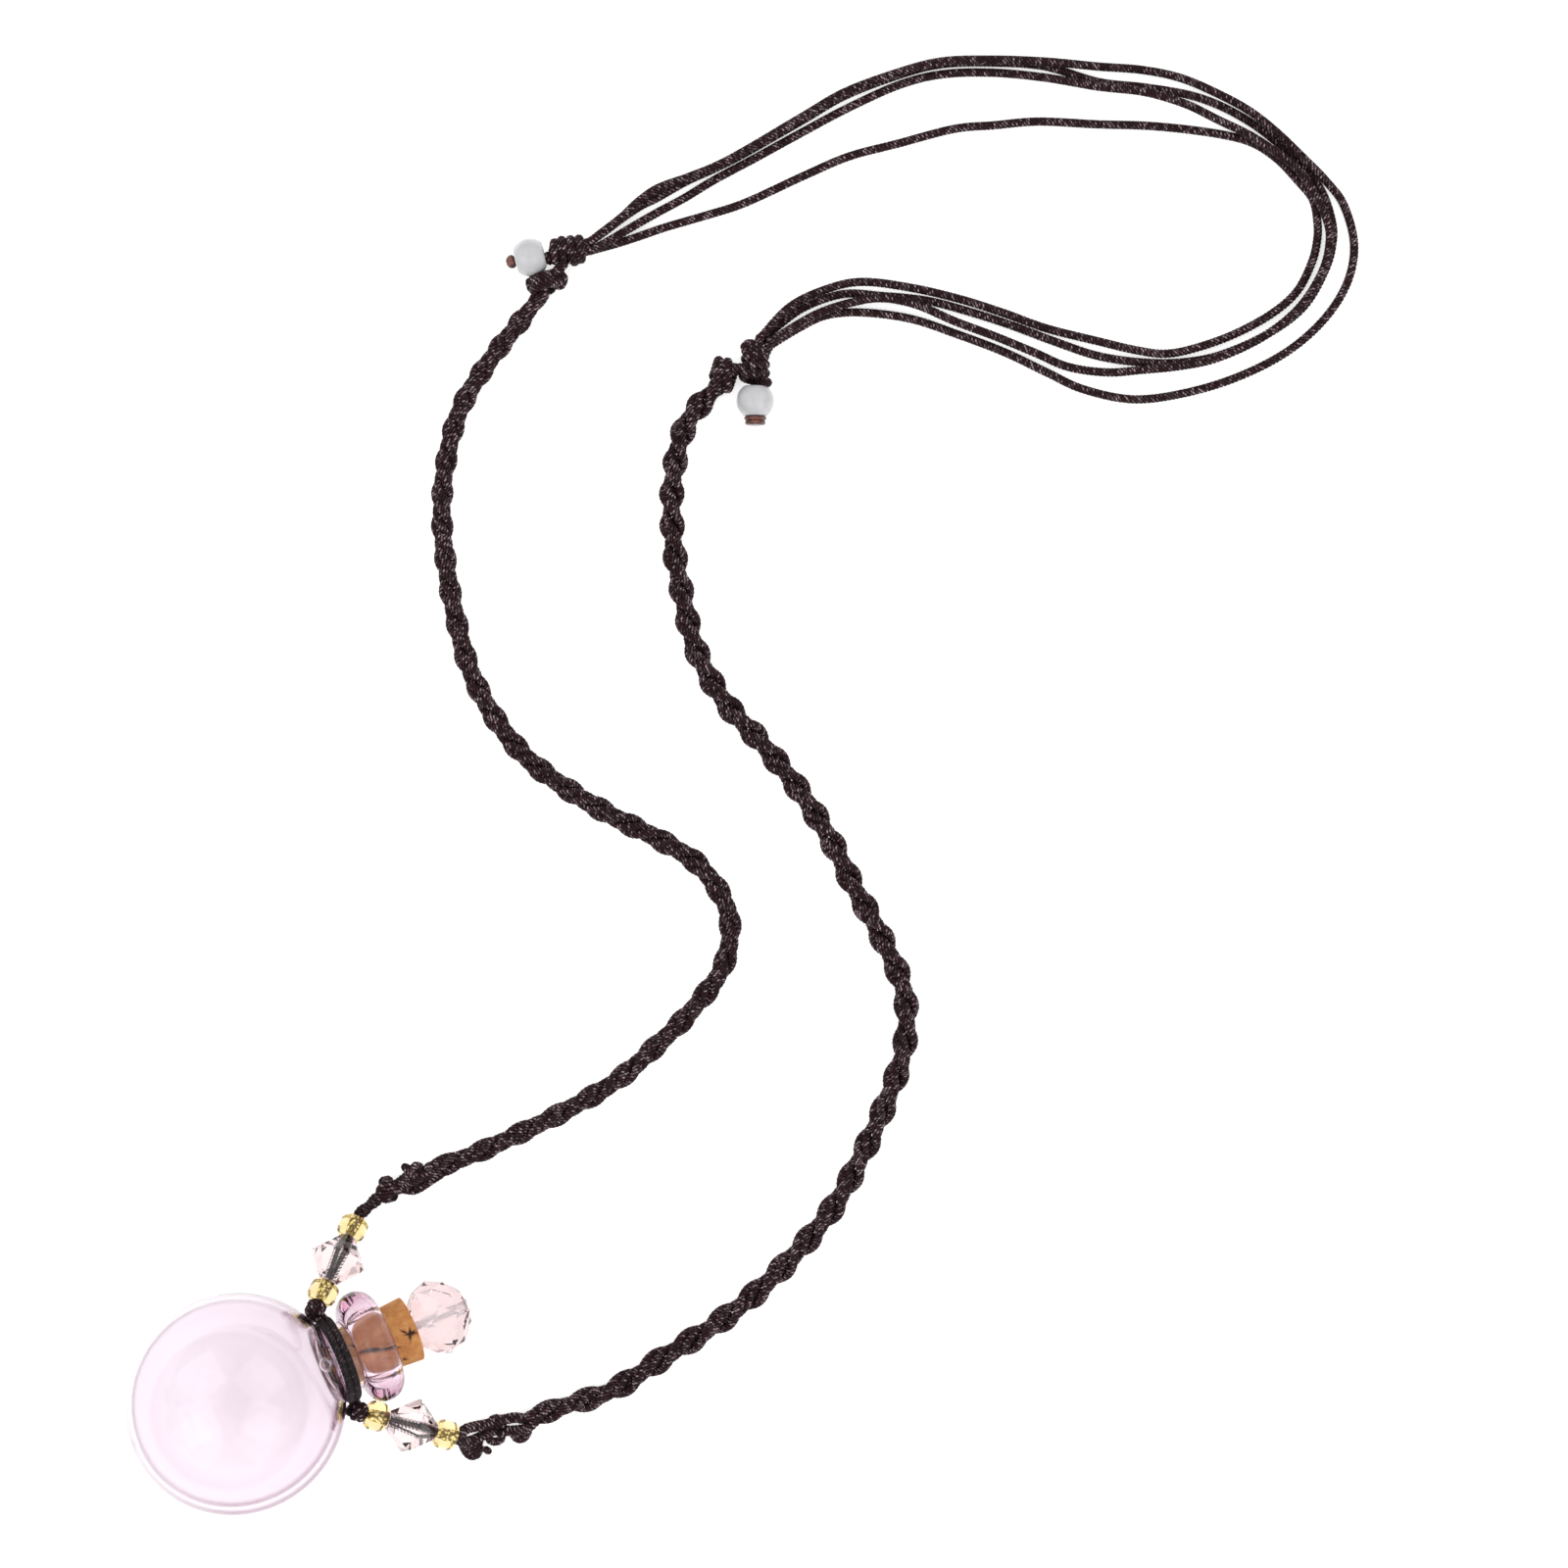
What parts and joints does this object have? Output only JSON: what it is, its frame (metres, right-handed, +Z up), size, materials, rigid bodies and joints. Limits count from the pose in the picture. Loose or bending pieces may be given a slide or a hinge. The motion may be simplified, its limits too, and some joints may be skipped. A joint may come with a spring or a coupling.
{
  "type": "bottle pendant necklace",
  "caption": "Round glass bottle pendant with a corked neck and faceted stopper bead, on a braided cord necklace with beads and a sliding adjuster.",
  "frame": {"origin": "middle of the lying necklace's outline, on the table, with the loose strands of the sliding loop left out", "axes": "+Z up from the table, +Y along the necklace away from the bottle, +X to the right as seen from above"},
  "size_m": [0.1312, 0.1553, 0.023],
  "materials": {
    "bottle_glass": "clear blown glass, pale lilac pink",
    "cork": "natural cork with pores and a small crack",
    "stopper_crystal": "faceted pale pink crystal",
    "pin_metal": "plain steel wire",
    "neck_cord": "woven cord, very dark brown",
    "gold_lined_glass": "yellow glass with a gold-lined hole",
    "pink_crystal": "faceted pale pink crystal",
    "bead_thread": "woven cord, dark brown",
    "knot_cord": "knotted woven cord, dark brown",
    "braid_cord": "twisted woven cord, dark aubergine brown",
    "loop_cord": "woven cord, dark aubergine brown",
    "milky_glass": "milky white polished glass",
    "melted_tip": "melted cord end, copper brown"
  },
  "bodies": {
    "necklace": {"bottle": "bottle_glass", "neck_cord": "neck_cord", "neck_knot_left": "neck_cord", "neck_knot_right": "neck_cord", "gold_bead_inner_left": "gold_lined_glass", "gold_bead_inner_right": "gold_lined_glass", "crystal_left": "pink_crystal", "crystal_right": "pink_crystal", "gold_bead_outer_left": "gold_lined_glass", "gold_bead_outer_right": "gold_lined_glass", "bead_thread_left": "bead_thread", "bead_thread_right": "bead_thread", "start_knot_left": "knot_cord", "start_knot_right": "knot_cord", "end_knot_left": "knot_cord", "end_knot_right": "knot_cord", "slide_knot_left": "knot_cord", "slide_knot_right": "knot_cord", "end_bead_left": "milky_glass", "end_bead_right": "milky_glass", "end_tip_left": "melted_tip", "end_tip_right": "melted_tip", "braid_left_1": "braid_cord", "braid_left_2": "braid_cord", "braid_left_3": "braid_cord", "braid_left_4": "braid_cord", "braid_right_1": "braid_cord", "braid_right_2": "braid_cord", "braid_right_3": "braid_cord", "braid_right_4": "braid_cord", "loop_strand_1": "loop_cord", "loop_strand_2": "loop_cord", "loop_strand_3": "loop_cord", "loop_strand_4": "loop_cord"},
    "stopper": {"cork": "cork", "stopper_bead": "stopper_crystal", "stopper_pin": "pin_metal"}
  },
  "joints": [
    {"name": "stopper_slide", "type": "slide", "parent": "necklace", "child": "stopper", "axis": [0.8834, 0.3391, -0.3235], "range_m": [0, 0.01]}
  ]
}
